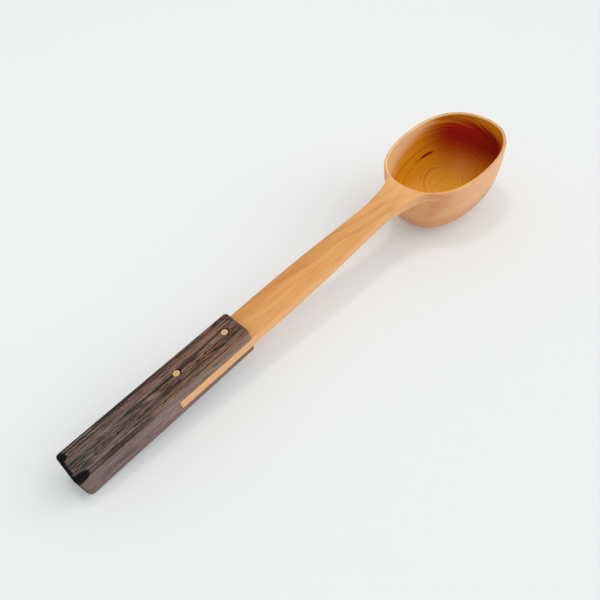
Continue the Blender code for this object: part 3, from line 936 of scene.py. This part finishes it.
colour = tint(tree, spread(tree, along, *FRONT_ALONG), colour, FRONT_TINT)
pore = larger(tree, times(tree, long_lines["Pore"], LONG_PORE_SHARE), dashes["Pore"])
pore = times(tree, pore, spread(tree, on_top, *PORE_ON_TOP))
colour = blend(tree, pore, colour, PORE)
print("sides and pores:", len(tree.nodes), "nodes")

# %% [markdown]
# The heel is end grain and nearly black, and the black has crept over its edge in three ragged patches. Around
# each pin the grip is dark in a thin ring, a little wider on the bowl's side.

# %% Black heel and dark rings round the pins
BLACK, HEEL_FACING, CRISP = (0.004, 0.004, 0.004), (0.55, 0.95), 0.8
HEEL_PATCHES = (((1.0, 5.6, 5.5), (3.6, 3.0, 6.0)), ((2.0, -8.9, 5.5), (6.4, 2.6, 3.0)),
                ((-0.5, 0.0, 5.5), (2.6, 14.0, 5.0)))
DARK_RING_SHIFT, DARK_RING_REACH = Vector((0.5, -0.15, 6.0)), (2.4, 2.2, 20.0)
shaken = ragged(tree, place, (0.35, 0.9, 0.9), (2.4, 1.2, 1.2))
marks = spread(tree, end, *HEEL_FACING)
for middle, reach in HEEL_PATCHES:
    marks = larger(tree, marks, spot(tree, shaken, middle, reach, CRISP))
for x in PIN_PLACES:
    dark_ring_middle = Vector((MILLIMETRES * x, 0.0, 0.0)) + DARK_RING_SHIFT
    marks = larger(tree, marks, spot(tree, place, dark_ring_middle, DARK_RING_REACH, CRISP))
colour = blend(tree, marks, colour, BLACK)
print("black marks:", len(tree.nodes), "nodes")

# %% [markdown]
# Use leaves its own marks: a dark brown line along the worn near edge, and two grey smudges on the side below
# it. The pores are sunk a tenth of a millimetre, by a bump that reads the same mask as their colour.

# %% Worn edge and smudges
EDGE_BROWN, EDGE_SHARE = (0.028, 0.013, 0.010), 0.85
EDGE_MIDDLE, EDGE_REACH = (24.0, -9.7, 5.0), (36.0, 1.2, 1.6)
SMUDGE, SMUDGE_SHARE, PORE_DEPTH = (0.075, 0.070, 0.075), 0.7, 0.00010
SMUDGES = (((79.8, -10.0, 4.1), (2.2, 2.0, 1.0)), ((39.8, -10.0, 4.5), (4.5, 2.0, 0.9)))
edge_line = spot(tree, shaken, EDGE_MIDDLE, EDGE_REACH, 0.2)
colour = blend(tree, times(tree, edge_line, EDGE_SHARE), colour, EDGE_BROWN)
for middle, reach in SMUDGES:
    colour = blend(tree, times(tree, spot(tree, shaken, middle, reach), SMUDGE_SHARE), colour, SMUDGE)
tree.links.new(colour, shader.inputs["Base Color"])
bumpy(tree, shader, maths(tree, "SUBTRACT", 1.0, pore), PORE_DEPTH)
dress(grip, dark)
print(dark.name, "has", len(tree.nodes), "nodes")

# %% [markdown]
# ## Pale pins
# The ends of the pins are end grain of a pale straight wood: yellow-tan and darker in the middle, with faint
# rings and a thin dark line at the edge. All of it is round, so it is drawn from the distance to the middle in
# the pin's own UV map.

# %% Finish for the pins
PIN_PALE, PIN_MIDDLE, MIDDLE_SIZE = (0.810, 0.510, 0.230), (0.590, 0.335, 0.115), (0.40, 0.20)
PIN_RING, RING_STEP, RING_SHARE = (0.460, 0.250, 0.090), 0.13, 0.35
PIN_EDGE, EDGE_SIZE = (0.250, 0.130, 0.050), (0.48, 0.5)
PIN_PORE, PIN_PORE_SHARE = (0.330, 0.170, 0.060), 0.15
dowel, tree, shader, place = start_finish("pale_dowel", {"Roughness": 0.5})
from_middle = add(tree, "UVMap", uv_map="from_middle").outputs["UV"]
out = vectors(tree, "LENGTH", from_middle)
ring_line = spread(tree, maths(tree, "PINGPONG", out, RING_STEP), 0.05, RING_STEP)
fibres = pattern(tree, fibres_group, place, Fineness=(2.5, 2.5, 0.3), Bare=0.60)
colour = blend(tree, spread(tree, out, *MIDDLE_SIZE), PIN_PALE, PIN_MIDDLE)
colour = blend(tree, times(tree, ring_line, RING_SHARE), colour, PIN_RING)
colour = blend(tree, spread(tree, out, *EDGE_SIZE), colour, PIN_EDGE)
colour = blend(tree, times(tree, fibres["Pore"], PIN_PORE_SHARE), colour, PIN_PORE)
tree.links.new(colour, shader.inputs["Base Color"])
for pin in pins:
    dress(pin, dowel)
print(dowel.name, "has", len(tree.nodes), "nodes")

# %% [markdown]
# ## Tie the pieces to the solids
# Each new piece rides on the one rigid body of the ladle and stands in for its measured solid, which is
# hidden.

# %% Ride and replace the solids
for piece, node, finish in ((ladle, "bowl_and_arm", "cherry"), (grip, "grip", "dark_wood"),
                            (pins[0], "pin_front", "pin_wood"), (pins[1], "pin_rear", "pin_wood")):
    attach(piece, "root")
    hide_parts(node)
    print(piece.name, "stands for", node)

# %% [markdown]
# ## The floor
# The ladle lies on a pale, plain table that takes its soft shadow. A lit surface alone comes out uneven over
# such a width, so a small share of it is a plain glow, which the camera and reflections see and which lights
# nothing.

# %% Pale floor
TABLE_HALF, TABLE_PALE, TABLE_ROUGHNESS = 3.0, (0.847, 0.870, 0.881), 0.8
GLOW_PALE, GLOW_SHARE = (0.832, 0.842, 0.837), 0.18


def seen_directly(tree):
    path = add(tree, "LightPath").outputs
    seen = larger(tree, path["Is Camera Ray"], path["Is Transmission Ray"])
    return larger(tree, seen, path["Is Glossy Ray"])


bm = bmesh.new()
bmesh.ops.create_grid(bm, x_segments=1, y_segments=1, size=TABLE_HALF)
floor = new_piece(bm, "floor")
paper, tree, shader = new_finish("pale_table", {"Base Color": TABLE_PALE, "Roughness": TABLE_ROUGHNESS})
glow = add(tree, "Emission", {"Color": GLOW_PALE, "Strength": 1.0})
both = add(tree, "MixShader", {0: times(tree, seen_directly(tree), GLOW_SHARE),
                               1: shader.outputs[0], 2: glow.outputs[0]})
tree.links.new(both.outputs[0], tree.nodes["Material Output"].inputs["Surface"])
dress(floor, paper)
print("the floor is", list(floor.dimensions), "m")

# %% [markdown]
# ## Soft light
# A soft sky, brighter at the horizon, lights everything evenly, as white walls would. The camera sees it as
# one plain pale tone. A huge panel far off to the right models the bowl, and at that distance it lights the
# whole table alike. A small warm panel overhead, a little behind the ladle, lays the arm's soft shadow.

# %% Sky and panels
SKY_COLOUR, SKY_SEEN = (0.965, 0.990, 1.0), 0.86
SKY_FADE, SKY_HORIZON, SKY_ABOVE = 0.8, 1.09, 0.60


def panel(name, place, aim, size, power, colour):
    light = bpy.data.lights.new(name, "AREA")
    light.size = size
    light.energy = power
    light.color = colour
    lamp = put(name, light)
    lamp.location = place
    lamp.rotation_euler = (Vector(aim) - Vector(place)).to_track_quat("-Z", "Y").to_euler()


sky = bpy.data.worlds.new("soft sky")
sky.use_nodes = True
tree = sky.node_tree
backdrop = tree.nodes["Background"]
fill(tree, backdrop, {"Color": SKY_COLOUR})
way = add(tree, "TexCoord").outputs["Generated"]
climb = add(tree, "SeparateXYZ", {0: way}).outputs["Z"]
skylight = spread(tree, climb, 0.0, SKY_FADE, SKY_HORIZON, SKY_ABOVE)
strength = add(tree, "Mix", {0: seen_directly(tree), 2: skylight, 3: SKY_SEEN}, data_type="FLOAT")
tree.links.new(strength.outputs[0], backdrop.inputs["Strength"])
bpy.context.scene.world = sky
panel("right panel", place=(24.0, -18.0, 17.6), aim=(0.05, 0.0, 0.02), size=40.0, power=7500.0,
      colour=(1.0, 0.99, 0.975))
panel("top panel", place=(0.0, 0.22, 1.1), aim=(0.0, 0.0, 0.0), size=0.15, power=1.72,
      colour=(1.0, 0.885, 0.74))
bpy.context.scene.view_settings.view_transform = "Standard"
print("there are", len(bpy.data.lights), "panels under the sky")

# %% [markdown]
# ## Camera
# The picture is taken from above the end of the grip, looking along the ladle, so the grip comes out large and
# the bowl small. The place, the lens and the small roll come from matching the outline to the picture.

# %% Camera at the picture's angle
AIM, DISTANCE = Vector((-0.00782, 0.00668, 0.0)), 0.33482
AZIMUTH, ELEVATION, ROLL = [math.radians(angle) for angle in (-41.81, 47.23, -4.23)]
LENS, SENSOR, NEAREST = 34.2, 36.0, 0.01
back = Vector((math.sin(AZIMUTH) * math.cos(ELEVATION), -math.cos(AZIMUTH) * math.cos(ELEVATION),
               math.sin(ELEVATION)))
lens = bpy.data.cameras.new("camera")
lens.lens = LENS
lens.sensor_width = SENSOR
lens.clip_start = NEAREST
camera = put("camera", lens)
facing = back.to_track_quat("Z", "Y").to_matrix().to_4x4() @ Matrix.Rotation(ROLL, 4, "Z")
camera.matrix_world = Matrix.Translation(AIM + DISTANCE * back) @ facing
bpy.context.scene.camera = camera
print("the camera is at", [round(MILLIMETRES * c) for c in camera.matrix_world.translation], "mm")
